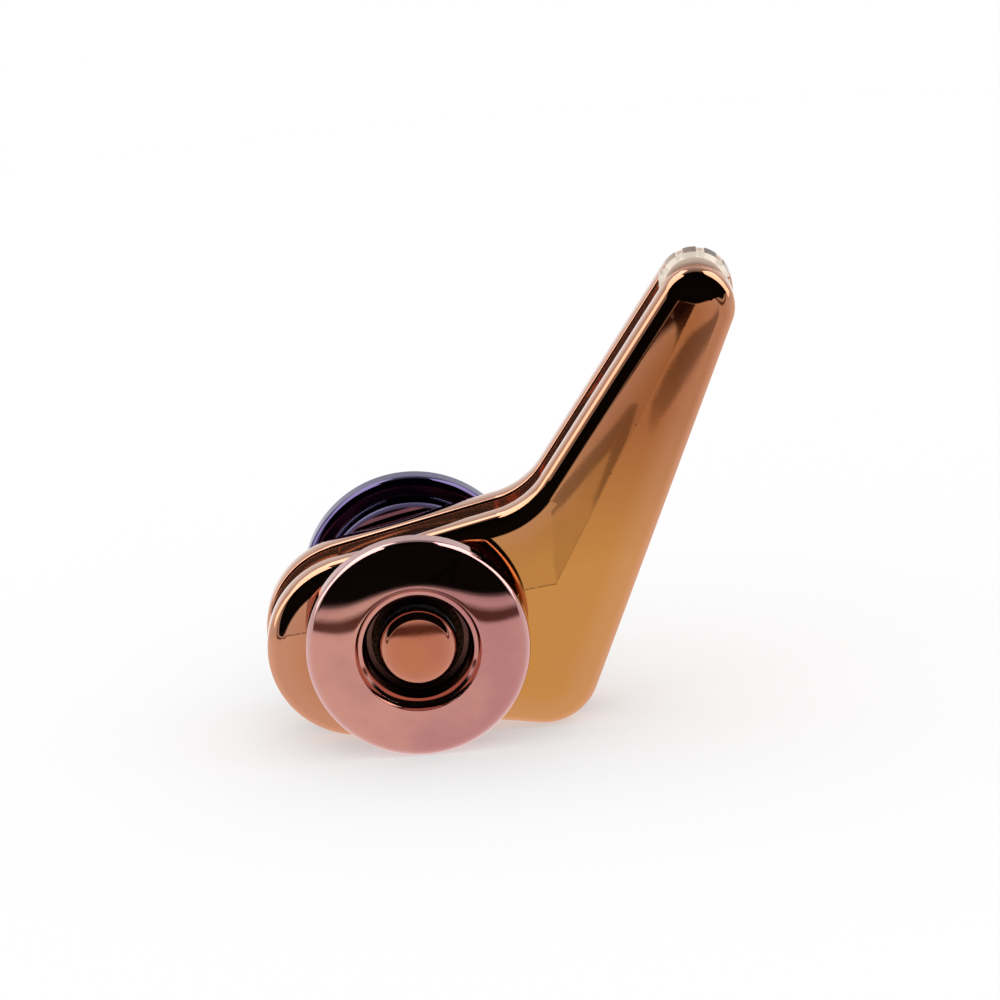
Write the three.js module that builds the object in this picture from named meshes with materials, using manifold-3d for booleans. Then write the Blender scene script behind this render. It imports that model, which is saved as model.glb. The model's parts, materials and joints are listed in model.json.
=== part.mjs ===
// Palm-held cuticle pusher: two boomerang shells, two thumb discs and a roller at the tip.
// Millimetres, +Z up. Origin on the ground under the middle of the body.
// Y runs along the disc axle; the front is -Y and the rear is +Y.
import * as THREE from 'three';
import { mergeVertices } from 'three/addons/utils/BufferGeometryUtils.js';
import Module from 'manifold-3d';

// Body outline, seen along the axle, with the axle at (0, 0)
const lobeX = -6.0;
const lobeZ = -1.85;
const lobeRadius = 9.1;
const heelX = 12.3;
const heelRadius = 5.6;
const tipX = 30.35;
const tipZ = 30.65;
const tipRadius = 3.8;
const elbowX = 7.0;
const elbowZ = 18.5;
const elbowRadius = 8.0;
const underX = 0.55;
const underRadius = 6.0;

// Shell section, across the body
const gapHalf = 1.7;
const shellThickness = 4.6;
const shoulderRadius = 1.8;
const gapBevel = 0.3;

// Creased upper face: crease corners on the outer face, and how far each facet leans
const creaseTopRise = 0.95;
const creaseEndRise = 1.8;
const creaseLeft = [-14.6, 0.3];
const creaseMiddle = [14.2, 3.7];
const creaseTop = [tipX, tipZ + creaseTopRise];
const creaseEnd = [tipX + tipRadius, tipZ + creaseEndRise];
const lobeFacetSlope = 3.5;
const armFacetSlope = 6;
const tipFacetSlope = 12;

// Thumb disc
const discRadius = 11.2;
const discRim = 3.5;
const discFaceRound = 0.8;
const discBackRound = 0.3;
const bossRadius = 9.3;
const bossLength = 2.45;
const bossRound = 0.4;
const wellRadius = 5.3;
const wellDepth = 3.95;
const wellLip = 1.0;

// Hub: axle, bush, washer and retaining ring
const axleRadius = 3.0;
const axleBoreRadius = 1.7;
const axleBoreDepth = 7.4;
const ringGrooveRadius = 2.55;
const ringThickness = 0.5;
const ringOuterRadius = 3.9;
const ringOpening = 60;
const thrustWasherRadius = 5.0;
const thrustWasherThickness = 0.4;
const bushWall = 0.5;
const bushFlangeRadius = 4.6;
const bushFlangeThickness = 0.4;
const centreSpacerRadius = 4.2;

// Push button in the disc's well
const buttonRadius = 4.0;
const buttonHeadThickness = 1.2;
const buttonRound = 0.45;
const buttonSetback = 0.3;
const buttonTravel = 0.6;
const buttonPinRadius = 0.4;
const buttonPinDepth = 3.2;
const stemPastPin = 1.0;
const springWireRadius = 0.18;
const springTurns = 3.5;

// Roller at the tip
const wheelRadius = 3.6;
const wheelProud = 1.0;
const wheelNotches = 10;
const notchRadius = 0.42;
const notchPhase = 40.5;
const wheelBevel = 0.15;
const tipPinRadius = 1.0;
const tipPinDepth = 2.8;
const tipBushWall = 0.5;
const tipWasherRadius = 2.2;
const tipWasherThickness = 0.3;

// Screws and their spacers
const armScrewDistance = 21;
const lobeScrewBack = 2.4;
const screwShankRadius = 0.8;
const screwHeadRadius = 1.7;
const screwHeadHeight = 1.0;
const screwHeadRim = 0.1;
const screwDepthInFront = 2.8;
const screwSocketRadius = 0.8;
const screwSocketDepth = 0.6;
const spacerRadius = 2.1;

// Clearances
const fixedFit = 0.03;
const runningFit = 0.05;
const faceGap = 0.1;

// Facets on round pieces; the outline's step is in degrees
const discSides = 56;
const hubSides = 32;
const smallSides = 20;
const buttonPinSides = 12;
const socketSides = 6;
const outlineStep = 7;
const shoulderSteps = 4;
const roundSteps = 3;
const smallRoundSteps = 2;
const ringSegments = 14;
const notchSegments = 3;
const springStepsPerTurn = 12;
const wireSegments = 3;

// Working sizes of the booleans: points this close are one, and cuts run this far past a face
const mergeDistance = 1e-4;
const shortestEdge = 1e-3;
const cutPast = 1;
const facetBlockSize = 80;

// Places along the axle, measured outwards from the middle of the gap
const shellFace = gapHalf + shellThickness;
const bossFace = shellFace + thrustWasherThickness + faceGap;
const flangeBack = bossFace + bossLength;
const discFace = flangeBack + discRim;
const wellFloor = discFace - wellDepth;
const ringPlace = wellFloor + bushFlangeThickness + faceGap;
const buttonFace = discFace - buttonSetback;
const buttonBack = buttonFace - buttonHeadThickness;
const axleEnd = buttonBack - buttonTravel - runningFit;
const axleBoreFloor = axleEnd - axleBoreDepth;
const buttonPinPlace = axleEnd - buttonPinDepth;
const stemEnd = buttonPinPlace - stemPastPin;

// The heel touches the same ground as the discs, and the wheel stands proud of the tip
const heelZ = heelRadius - discRadius;
const wheelX = tipX;
const wheelZ = tipZ + tipRadius - wheelRadius + wheelProud;

// The axle's place over the ground and beside the middle of the body
const axleX = -(lobeX - lobeRadius + tipX + tipRadius) / 2;
const axleZ = discRadius;

const armLength = Math.hypot(tipX - heelX, tipZ - heelZ);
const armShare = armScrewDistance / armLength;
const screwPlaces = {
  heel: [heelX, heelZ],
  arm: [heelX + (tipX - heelX) * armShare, heelZ + (tipZ - heelZ) * armShare],
  lobe: [lobeX - lobeScrewBack, lobeZ],
};

const wasm = await Module();
wasm.setup();

const colours = {
  shell: { color: 0xc68b52, roughness: 0.08, metalness: 1 },
  frontDisc: { color: 0xc28686, roughness: 0.08, metalness: 1 },
  rearDisc: { color: 0x4a3f78, roughness: 0.08, metalness: 1 },
  button: { color: 0xc07a5a, roughness: 0.1, metalness: 1 },
  steel: { color: 0xb9bcc0, roughness: 0.25, metalness: 1 },
  bronze: { color: 0xb08a4c, roughness: 0.35, metalness: 1 },
  wheel: { color: 0xd9c6ae, roughness: 0.1, metalness: 1 },
  polymer: { color: 0xe8e6df, roughness: 0.5, metalness: 0 },
};

const group = new THREE.Group();

function add(name, colour, geometry) {
  const mesh = new THREE.Mesh(geometry, new THREE.MeshStandardMaterial(colours[colour]));
  mesh.name = name;
  mesh.position.set(axleX, 0, axleZ);
  group.add(mesh);
}

// Booleans
function solidOf(geometry) {
  const bare = geometry.clone();
  bare.deleteAttribute('normal');
  bare.deleteAttribute('uv');
  const merged = mergeVertices(bare, mergeDistance);
  const vertProperties = new Float32Array(merged.attributes.position.array);
  const triVerts = new Uint32Array(merged.index.array);
  return new wasm.Manifold(new wasm.Mesh({ numProp: 3, vertProperties, triVerts }));
}

function geometryOf(solid) {
  const mesh = solid.getMesh();
  const geometry = new THREE.BufferGeometry();
  geometry.setAttribute('position', new THREE.BufferAttribute(mesh.vertProperties, 3));
  geometry.setIndex(new THREE.BufferAttribute(mesh.triVerts, 1));
  return geometry;
}

function cut(geometry, ...tools) {
  let solid = solidOf(geometry);
  for (const tool of tools) {
    solid = solid.subtract(solidOf(tool));
  }
  return geometryOf(solid);
}

// The rear pieces are drawn with y outwards; this gives the front ones
function mirrored(geometry) {
  const flat = geometry.index ? geometry.toNonIndexed() : geometry.clone();
  flat.deleteAttribute('normal');
  flat.deleteAttribute('uv');
  const from = flat.attributes.position;
  const positions = new Float32Array(from.count * 3);
  for (let i = 0; i < from.count; i += 1) {
    const corner = i % 3;
    const source = corner === 0 ? i : i + (corner === 1 ? 1 : -1);
    positions[i * 3] = from.getX(source);
    positions[i * 3 + 1] = -from.getY(source);
    positions[i * 3 + 2] = from.getZ(source);
  }
  const result = new THREE.BufferGeometry();
  result.setAttribute('position', new THREE.BufferAttribute(positions, 3));
  return mergeVertices(result, mergeDistance);
}

// A turned piece about the Y axis; points are [radius, y]
function turned(points, sides) {
  return new THREE.LatheGeometry(points.map(([r, y]) => new THREE.Vector2(r, y)), sides);
}

function turnedRing(points, sides) {
  return turned([...points, points[0]], sides);
}

function sleeve(inner, outer, from, to, sides) {
  return turnedRing([[inner, from], [outer, from], [outer, to], [inner, to]], sides);
}

function rod(radius, from, to, sides, x = 0, z = 0) {
  const geometry = new THREE.CylinderGeometry(radius, radius, to - from, sides);
  return geometry.translate(x, (from + to) / 2, z);
}

// Points on an arc of a turned section; 0 degrees is away from the axis and 90 is along +y
function arcPoints(centreR, centreY, radius, fromDegrees, toDegrees, steps) {
  const points = [];
  for (let i = 0; i <= steps; i += 1) {
    const angle = THREE.MathUtils.degToRad(fromDegrees + (toDegrees - fromDegrees) * i / steps);
    points.push([centreR + radius * Math.cos(angle), centreY + radius * Math.sin(angle)]);
  }
  return points;
}

// Arcs of the body's outline, anticlockwise; a hollow arc has a minus radius
function outlineArcs() {
  const reach = lobeRadius + underRadius;
  const underZ = lobeZ - Math.sqrt(reach ** 2 - (underX - lobeX) ** 2);
  return [
    { x: lobeX, z: lobeZ, radius: lobeRadius },
    { x: underX, z: underZ, radius: -underRadius },
    { x: heelX, z: heelZ, radius: heelRadius },
    { x: tipX, z: tipZ, radius: tipRadius },
    { x: elbowX, z: elbowZ, radius: -elbowRadius },
  ];
}

// Direction square to the line that touches two arcs
function touchingNormal(a, b) {
  const along = Math.atan2(b.z - a.z, b.x - a.x);
  const distance = Math.hypot(b.x - a.x, b.z - a.z);
  const share = Math.min(1, (a.radius - b.radius) / distance);
  return along - Math.acos(share);
}

// Every outline point with its outward direction
function outlineStations() {
  const arcs = outlineArcs();
  const stations = [];
  arcs.forEach((arc, i) => {
    const before = arcs[(i + arcs.length - 1) % arcs.length];
    const after = arcs[(i + 1) % arcs.length];
    const start = touchingNormal(before, arc);
    const turn = Math.sign(arc.radius);
    const sweep = THREE.MathUtils.euclideanModulo(
      (touchingNormal(arc, after) - start) * turn, 2 * Math.PI) * turn;
    const steps = Math.ceil(Math.abs(THREE.MathUtils.radToDeg(sweep)) / outlineStep);
    for (let k = 0; k <= steps; k += 1) {
      const angle = start + sweep * k / steps;
      stations.push({ arc, nx: Math.cos(angle), nz: Math.sin(angle) });
    }
  });
  const ring = outlineRing(stations, 0);
  return stations.filter((_, i) => ring[i].distanceTo(ring[(i + 1) % ring.length]) > shortestEdge);
}

function outlineRing(stations, inset) {
  return stations.map(({ arc, nx, nz }) => new THREE.Vector2(
    arc.x + (arc.radius - inset) * nx, arc.z + (arc.radius - inset) * nz));
}

// Solid through a stack of like rings; sections are [inset, y] with y rising
function lofted(sections) {
  const stations = outlineStations();
  const rings = sections.map(([inset]) => outlineRing(stations, inset));
  const count = stations.length;
  const positions = [];
  const index = [];
  sections.forEach(([, y], s) => {
    rings[s].forEach((p) => positions.push(p.x, y, p.y));
  });
  for (let s = 0; s + 1 < sections.length; s += 1) {
    for (let i = 0; i < count; i += 1) {
      const a = s * count + i;
      const b = s * count + (i + 1) % count;
      index.push(a, a + count, b, b, a + count, b + count);
    }
  }
  const top = (sections.length - 1) * count;
  for (const [a, b, c] of THREE.ShapeUtils.triangulateShape(rings[0], [])) {
    index.push(a, b, c);
  }
  for (const [a, b, c] of THREE.ShapeUtils.triangulateShape(rings.at(-1), [])) {
    index.push(top + a, top + c, top + b);
  }
  const geometry = new THREE.BufferGeometry();
  geometry.setAttribute('position', new THREE.Float32BufferAttribute(positions, 3));
  geometry.setIndex(index);
  return geometry;
}

// Block over a plane that leaves the outer face along a crease and falls away to its left
function facetBlock(from, to, slope) {
  const size = facetBlockSize;
  const dx = to[0] - from[0];
  const dz = to[1] - from[1];
  const length = Math.hypot(dx, dz);
  const along = new THREE.Vector3(dx / length, 0, dz / length);
  const lean = THREE.MathUtils.degToRad(slope);
  const left = new THREE.Vector3(-along.z, 0, along.x);
  const outwards = new THREE.Vector3(0, 1, 0);
  const up = outwards.clone().multiplyScalar(Math.cos(lean)).addScaledVector(left, Math.sin(lean));
  const side = new THREE.Vector3().crossVectors(up, along);
  const block = new THREE.BoxGeometry(2 * size, size, 2 * size);
  block.translate(0, size / 2, 0);
  const basis = new THREE.Matrix4().makeBasis(along, up, side.negate());
  basis.setPosition(from[0], shellFace, from[1]);
  return block.applyMatrix4(basis);
}

function shellBlank() {
  const sections = [[gapBevel, gapHalf], [0, gapHalf + gapBevel]];
  for (let i = 0; i <= shoulderSteps; i += 1) {
    const angle = (i / shoulderSteps) * Math.PI / 2;
    const inset = shoulderRadius * (1 - Math.cos(angle));
    sections.push([inset, shellFace - shoulderRadius * (1 - Math.sin(angle))]);
  }
  const lobeFacet = solidOf(facetBlock(creaseLeft, creaseMiddle, lobeFacetSlope));
  const armFacet = solidOf(facetBlock(creaseMiddle, creaseTop, armFacetSlope));
  const tipFacet = solidOf(facetBlock(creaseTop, creaseEnd, tipFacetSlope));
  const crown = solidOf(lofted(sections)).subtract(lobeFacet.intersect(armFacet));
  return geometryOf(crown.subtract(tipFacet));
}

function axleHole() {
  return rod(axleRadius + fixedFit, 0, discFace, hubSides);
}

function tipPinHole() {
  const floor = gapHalf + tipPinDepth + fixedFit;
  return rod(tipPinRadius + fixedFit, 0, floor, smallSides, wheelX, wheelZ);
}

// Countersunk screw from the rear; grow widens it to make its own hole
function screwBody(grow, headTop) {
  const rim = shellFace - screwHeadRim;
  const cone = shellFace - screwHeadHeight;
  const end = -gapHalf - screwDepthInFront - grow;
  const shank = screwShankRadius + grow;
  const head = screwHeadRadius + grow;
  const points = [[0, end], [shank, end], [shank, cone], [head, rim], [head, headTop], [0, headTop]];
  return turned(points, smallSides);
}

function screwHole([x, z]) {
  return screwBody(fixedFit, shellFace + cutPast).translate(x, 0, z);
}

function frontShell() {
  const screwHoles = Object.values(screwPlaces).map(screwHole);
  return cut(mirrored(cut(shellBlank(), axleHole(), tipPinHole())), ...screwHoles);
}

function rearShell() {
  const screwHoles = Object.values(screwPlaces).map(screwHole);
  return cut(shellBlank(), axleHole(), tipPinHole(), ...screwHoles);
}

function screw([x, z]) {
  const body = screwBody(0, shellFace);
  const socketFloor = shellFace - screwSocketDepth;
  const socket = rod(screwSocketRadius, socketFloor, shellFace + cutPast, socketSides);
  return cut(body, socket).translate(x, 0, z);
}

function gapSpacer([x, z]) {
  const inner = screwShankRadius + fixedFit;
  return sleeve(inner, spacerRadius, -gapHalf, gapHalf, smallSides).translate(x, 0, z);
}

function axle() {
  const half = [
    [0, axleBoreFloor],
    [axleBoreRadius, axleBoreFloor],
    [axleBoreRadius, axleEnd],
    [axleRadius, axleEnd],
    [axleRadius, ringPlace + ringThickness],
    [ringGrooveRadius, ringPlace + ringThickness],
    [ringGrooveRadius, ringPlace],
    [axleRadius, ringPlace],
  ];
  const other = half.map(([r, y]) => [r, -y]);
  const body = turned([...other, ...half.reverse()], hubSides);
  const holes = [1, -1].map((side) => crossPin(buttonPinRadius + fixedFit, axleRadius + cutPast, side));
  return cut(body, ...holes);
}

// Side is 1 at the rear and -1 at the front
function crossPin(radius, half, side) {
  const pin = new THREE.CylinderGeometry(radius, radius, 2 * half, buttonPinSides);
  return pin.rotateZ(Math.PI / 2).translate(0, side * buttonPinPlace, 0);
}

function centreSpacer() {
  return sleeve(axleRadius + fixedFit, centreSpacerRadius, -gapHalf, gapHalf, hubSides);
}

function thrustWasher() {
  const inner = axleRadius + fixedFit;
  return sleeve(inner, thrustWasherRadius, shellFace, shellFace + thrustWasherThickness, hubSides);
}

function bush() {
  const inner = axleRadius + runningFit;
  const outer = inner + bushWall;
  const flangeTop = wellFloor + bushFlangeThickness;
  const points = [
    [inner, bossFace],
    [outer, bossFace],
    [outer, wellFloor],
    [bushFlangeRadius, wellFloor],
    [bushFlangeRadius, flangeTop],
    [inner, flangeTop],
  ];
  return turnedRing(points, hubSides);
}

function thumbDisc() {
  const bore = axleRadius + runningFit + bushWall + fixedFit;
  const points = [
    [bore, bossFace],
    ...arcPoints(bossRadius - bossRound, bossFace + bossRound, bossRound, -90, 0, smallRoundSteps),
    [bossRadius, flangeBack],
    ...arcPoints(discRadius - discBackRound, flangeBack + discBackRound, discBackRound, -90, 0, 1),
    ...arcPoints(discRadius - discFaceRound, discFace - discFaceRound, discFaceRound, 0, 90, roundSteps),
    ...arcPoints(wellRadius + wellLip, discFace - wellLip, wellLip, 90, 180, roundSteps),
    [wellRadius, wellFloor],
    [bore, wellFloor],
  ];
  return turnedRing(points, discSides);
}

function retainingRing() {
  const shape = new THREE.Shape();
  const half = THREE.MathUtils.degToRad(ringOpening / 2);
  const start = -Math.PI / 2 + half;
  const end = 1.5 * Math.PI - half;
  shape.absarc(0, 0, ringOuterRadius, start, end, false);
  shape.absarc(0, 0, ringGrooveRadius + fixedFit, end, start, true);
  return slab(shape, ringPlace, ringPlace + ringThickness, ringSegments);
}

// Flat shape in X and Z, thickened along Y
function slab(shape, from, to, curveSegments, bevel = 0) {
  const geometry = new THREE.ExtrudeGeometry(shape, {
    depth: to - from - 2 * bevel,
    curveSegments,
    bevelEnabled: bevel > 0,
    bevelThickness: bevel,
    bevelSize: bevel,
    bevelOffset: -bevel,
    bevelSegments: 1,
  });
  return geometry.rotateX(Math.PI / 2).translate(0, to - bevel, 0);
}

function button() {
  const stemRadius = axleBoreRadius - runningFit;
  const points = [
    [0, stemEnd],
    [stemRadius, stemEnd],
    [stemRadius, buttonBack],
    [buttonRadius, buttonBack],
    ...arcPoints(buttonRadius - buttonRound, buttonFace - buttonRound, buttonRound, 0, 90, roundSteps),
    [0, buttonFace],
  ];
  const slotFrom = buttonPinPlace - buttonPinRadius - runningFit;
  const slotTo = buttonPinPlace + buttonPinRadius + runningFit + buttonTravel;
  const slotWidth = 2 * (buttonPinRadius + runningFit);
  const slot = new THREE.BoxGeometry(4 * stemRadius, slotTo - slotFrom, slotWidth);
  return cut(turned(points, hubSides), slot.translate(0, (slotFrom + slotTo) / 2, 0));
}

class Helix extends THREE.Curve {
  constructor(radius, from, to, turns) {
    super();
    Object.assign(this, { radius, from, to, turns });
  }

  getPoint(share, target = new THREE.Vector3()) {
    const angle = share * this.turns * 2 * Math.PI;
    const y = this.from + (this.to - this.from) * share;
    return target.set(this.radius * Math.cos(angle), y, this.radius * Math.sin(angle));
  }
}

function buttonSpring() {
  const radius = axleBoreRadius - runningFit - 2 * springWireRadius;
  const seat = springWireRadius + faceGap;
  const path = new Helix(radius, axleBoreFloor + seat, stemEnd - seat, springTurns);
  const section = new THREE.Shape();
  section.absarc(0, 0, springWireRadius, 0, 2 * Math.PI, false);
  return new THREE.ExtrudeGeometry(section, {
    steps: Math.round(springTurns * springStepsPerTurn),
    curveSegments: wireSegments,
    extrudePath: path,
    bevelEnabled: false,
  });
}

// Roller with notches round its rim
function tipWheel() {
  const half = gapHalf - tipWasherThickness - faceGap;
  const shape = new THREE.Shape();
  const notchHalf = notchRadius / wheelRadius;
  for (let i = 0; i < wheelNotches; i += 1) {
    const middle = THREE.MathUtils.degToRad(notchPhase) + i * 2 * Math.PI / wheelNotches;
    const next = middle + 2 * Math.PI / wheelNotches;
    const x = wheelRadius * Math.cos(middle);
    const y = wheelRadius * Math.sin(middle);
    shape.absarc(x, y, notchRadius, middle - Math.PI / 2, middle + Math.PI / 2, true);
    shape.absarc(0, 0, wheelRadius, middle + notchHalf, next - notchHalf, false);
  }
  const rim = slab(shape, -half, half, notchSegments, wheelBevel);
  const hole = rod(tipPinRadius + runningFit + tipBushWall + fixedFit, -gapHalf, gapHalf, smallSides);
  return cut(rim, hole).translate(wheelX, 0, wheelZ);
}

function tipBush() {
  const inner = tipPinRadius + runningFit;
  const half = gapHalf - tipWasherThickness - faceGap;
  return sleeve(inner, inner + tipBushWall, -half, half, smallSides).translate(wheelX, 0, wheelZ);
}

function tipPin() {
  const half = gapHalf + tipPinDepth;
  return rod(tipPinRadius, -half, half, smallSides, wheelX, wheelZ);
}

function tipWasher() {
  const inner = tipPinRadius + fixedFit;
  const washer = sleeve(inner, tipWasherRadius, gapHalf - tipWasherThickness, gapHalf, smallSides);
  return washer.translate(wheelX, 0, wheelZ);
}

add('front_shell', 'shell', frontShell());
add('rear_shell', 'shell', rearShell());
add('axle', 'steel', axle());
add('centre_spacer', 'steel', centreSpacer());
add('tip_wheel', 'wheel', tipWheel());
add('tip_bush', 'bronze', tipBush());
add('tip_pin', 'steel', tipPin());

for (const [place, point] of Object.entries(screwPlaces)) {
  add(`${place}_screw`, 'steel', screw(point));
  add(`${place}_spacer`, 'steel', gapSpacer(point));
}

const pairs = [
  ['thumb_disc', { front: 'frontDisc', rear: 'rearDisc' }, thumbDisc()],
  ['bush', 'bronze', bush()],
  ['thrust_washer', 'polymer', thrustWasher()],
  ['retaining_ring', 'steel', retainingRing()],
  ['button', 'button', button()],
  ['button_spring', 'steel', buttonSpring()],
  ['tip_washer', 'polymer', tipWasher()],
];
for (const [name, colour, geometry] of pairs) {
  add(`rear_${name}`, colour.rear ?? colour, geometry);
  add(`front_${name}`, colour.front ?? colour, mirrored(geometry));
}
for (const [name, side] of [['rear', 1], ['front', -1]]) {
  add(`${name}_button_pin`, 'steel', crossPin(buttonPinRadius, axleRadius - fixedFit, side));
}

export default group;
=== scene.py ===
# Looks for the palm-held cuticle pusher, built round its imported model.
# Piece sizes are in millimetres, measured from the disc axle; y runs outwards from the middle of the gap.
import json
import math

import bpy
import numpy as np
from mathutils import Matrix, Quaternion, Vector
from mathutils.geometry import delaunay_2d_cdt


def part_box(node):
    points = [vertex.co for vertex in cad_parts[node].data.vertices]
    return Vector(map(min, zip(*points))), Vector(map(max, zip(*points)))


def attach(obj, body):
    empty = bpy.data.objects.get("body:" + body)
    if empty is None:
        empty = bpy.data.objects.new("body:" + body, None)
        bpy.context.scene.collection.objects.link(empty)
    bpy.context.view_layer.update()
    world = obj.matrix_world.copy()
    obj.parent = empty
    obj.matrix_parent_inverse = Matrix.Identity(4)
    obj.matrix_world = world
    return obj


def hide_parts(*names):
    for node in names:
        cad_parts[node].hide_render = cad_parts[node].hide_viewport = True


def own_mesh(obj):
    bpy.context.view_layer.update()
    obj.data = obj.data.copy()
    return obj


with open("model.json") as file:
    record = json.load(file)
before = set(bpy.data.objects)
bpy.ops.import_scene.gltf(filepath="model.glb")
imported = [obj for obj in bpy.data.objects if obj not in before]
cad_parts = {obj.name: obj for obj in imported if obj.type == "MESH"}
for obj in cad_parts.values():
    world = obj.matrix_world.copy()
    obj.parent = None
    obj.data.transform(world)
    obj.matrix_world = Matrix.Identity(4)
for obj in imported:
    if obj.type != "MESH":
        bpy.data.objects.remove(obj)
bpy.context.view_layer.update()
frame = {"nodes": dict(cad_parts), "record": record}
nodes = frame["nodes"]
scene = bpy.context.scene
mm = 0.001


def middleOf(node):
    low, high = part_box(node)
    return (low + high) / 2


axlePlace = middleOf("axle")
tipPlace = middleOf("tip_pin")
axleX = axlePlace.x / mm
axleZ = axlePlace.z / mm


def towards(azimuth, elevation):
    # the direction at these degrees round from the front and up
    azimuth, elevation = math.radians(azimuth), math.radians(elevation)
    flat = math.cos(elevation)
    return Vector((math.sin(azimuth) * flat, -math.cos(azimuth) * flat, math.sin(elevation)))


# Camera
view = {
    "target": (-0.24, 0, 22.2),
    "distance": 1500,
    "widthSeen": 100,
    "azimuth": 0.07,
    "elevation": 17.05,
    "roll": 4.66,  # the tool leans in the photograph and stands here, so the camera leans instead
    "sensor": 36,
}


def makeCamera():
    data = bpy.data.cameras.new("camera")
    data.sensor_width = view["sensor"]
    data.lens = view["sensor"] * view["distance"] / view["widthSeen"]
    data.clip_end = 10
    camera = bpy.data.objects.new("camera", data)
    scene.collection.objects.link(camera)
    back = towards(view["azimuth"], view["elevation"])
    camera.location = Vector(view["target"]) * mm + back * view["distance"] * mm
    camera.rotation_mode = "QUATERNION"
    lean = Quaternion((0, 0, 1), -math.radians(view["roll"]))
    camera.rotation_quaternion = (-back).to_track_quat("-Z", "Y") @ lean
    scene.camera = camera


makeCamera()
scene.view_settings.view_transform = "Standard"
print("Camera placed")


# Node helpers
def newMaterial(name):
    material = bpy.data.materials.new(name)
    material.use_nodes = True
    tree = material.node_tree
    return material, tree, tree.nodes["Principled BSDF"]


def addNode(tree, kind, values=None, links=None):
    node = tree.nodes.new(kind)
    for key, value in (values or {}).items():
        if isinstance(key, str) and key.islower() and hasattr(node, key):
            setattr(node, key, value)
        else:
            node.inputs[key].default_value = value
    for key, socket in (links or {}).items():
        tree.links.new(socket, node.inputs[key])
    return node


def mathNode(tree, operation, *values):
    node = tree.nodes.new("ShaderNodeMath")
    node.operation = operation
    for socket, value in zip(node.inputs, values):
        if isinstance(value, (int, float)):
            socket.default_value = value
        else:
            tree.links.new(value, socket)
    return node.outputs[0]


def noiseOf(tree, place, scale, detail=2.0):
    values = {"Scale": scale, "Detail": detail}
    return addNode(tree, "ShaderNodeTexNoise", values, {"Vector": place}).outputs[0]


def lengthOf(tree, vector):
    return addNode(tree, "ShaderNodeVectorMath", {"operation": "LENGTH"}, {0: vector}).outputs["Value"]


def riseOf(tree, vector):
    return addNode(tree, "ShaderNodeSeparateXYZ", None, {"Vector": vector}).outputs["Z"]


def objectPlace(tree):
    return addNode(tree, "ShaderNodeTexCoord").outputs["Object"]


def stretched(tree, place, scale):
    return addNode(tree, "ShaderNodeMapping", {"Scale": scale}, {"Vector": place}).outputs[0]


def between(tree, value, low, high, fromLow=0.35, fromHigh=0.65):
    limits = {"From Min": fromLow, "From Max": fromHigh, "To Min": low, "To Max": high}
    return addNode(tree, "ShaderNodeMapRange", limits, {"Value": value}).outputs[0]


def mixed(tree, share, first, second, blend="MIX"):
    links = None if isinstance(share, float) else {"Factor": share}
    values = {"data_type": "RGBA", "blend_type": blend}
    if isinstance(share, float):
        values["Factor"] = share
    node = addNode(tree, "ShaderNodeMix", values, links)
    for socket, value in ((node.inputs[6], first), (node.inputs[7], second)):
        if isinstance(value, tuple):
            socket.default_value = (*linear(value), 1)
        else:
            tree.links.new(value, socket)
    return node.outputs[2]


def linear(colour):
    return tuple((c / 255 / 12.92) if c < 11 else ((c / 255 + 0.055) / 1.055) ** 2.4 for c in colour)


def attribute(tree, name):
    return addNode(tree, "ShaderNodeAttribute", {"attribute_name": name}).outputs["Fac"]


def bumped(tree, height, depth, below=None):
    links = {"Height": height}
    if below is not None:
        links["Normal"] = below
    return addNode(tree, "ShaderNodeBump", {"Strength": 1.0, "Distance": depth * mm}, links).outputs[0]


# Materials
# colours of each plating: face in the middle of the part, far at its ends, high up the arm as a painted dark
# reflection, edge on the turned-over rims as a painted sheen, and deep inside as painted shade
plating = {
    # the gold's high colour is a painted dark reflection on the upper arm
    "gold": {"face": (198, 136, 70), "far": (188, 125, 94), "edge": (214, 158, 130), "middle": (17, 0),
             "from": 12, "to": 26, "squeeze": (1, 0, 0.2), "cloud": 0.12, "high": (162, 97, 57),
             "highFrom": 5, "highTo": 20},
    "pink": {"face": (201, 142, 128), "far": (183, 124, 122), "edge": (214, 168, 166), "middle": (-9, -3),
             "from": 2, "to": 20, "cloud": 0.5},
    "violet": {"face": (58, 52, 104), "far": (80, 42, 92), "edge": (98, 90, 132), "deep": (12, 10, 22),
               "from": 3, "to": 12, "cloud": 0.3},
    "copper": {"face": (188, 114, 80), "far": (180, 106, 86), "edge": (208, 150, 132), "from": 0, "to": 4,
               "cloud": 0.4},
    # the champagne's far colour is painted shade: it darkens pieces away from a point left of and above their
    # middle, the roller towards its right
    "champagne": {"face": (186, 152, 124), "far": (84, 56, 40), "edge": (240, 226, 210), "middle": (-3, 1),
                  "from": 2, "to": 5.5, "cloud": 0.3},
}
# deep is the painted shade colour for recesses and inner sides
usualPlating = {"deep": (30, 12, 9), "middle": (0, 0), "squeeze": (1, 0, 1)}
polish = {
    "cloudScale": 160,
    "roughLow": 0.02,
    "roughHigh": 0.05,
    "smudgeScale": 260,
    "satinRough": 0.36,
    "satinMetal": 0.15,
    "waveScale": 90,
    "waveDepth": 0.006,
    "hairScale": (700, 9000, 5000),
    "hairDepth": 0.0001,
    "pitScale": 2600,
    "pitDepth": 0.0002,
    "pitLimits": (0.72, 0.8),
}


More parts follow.
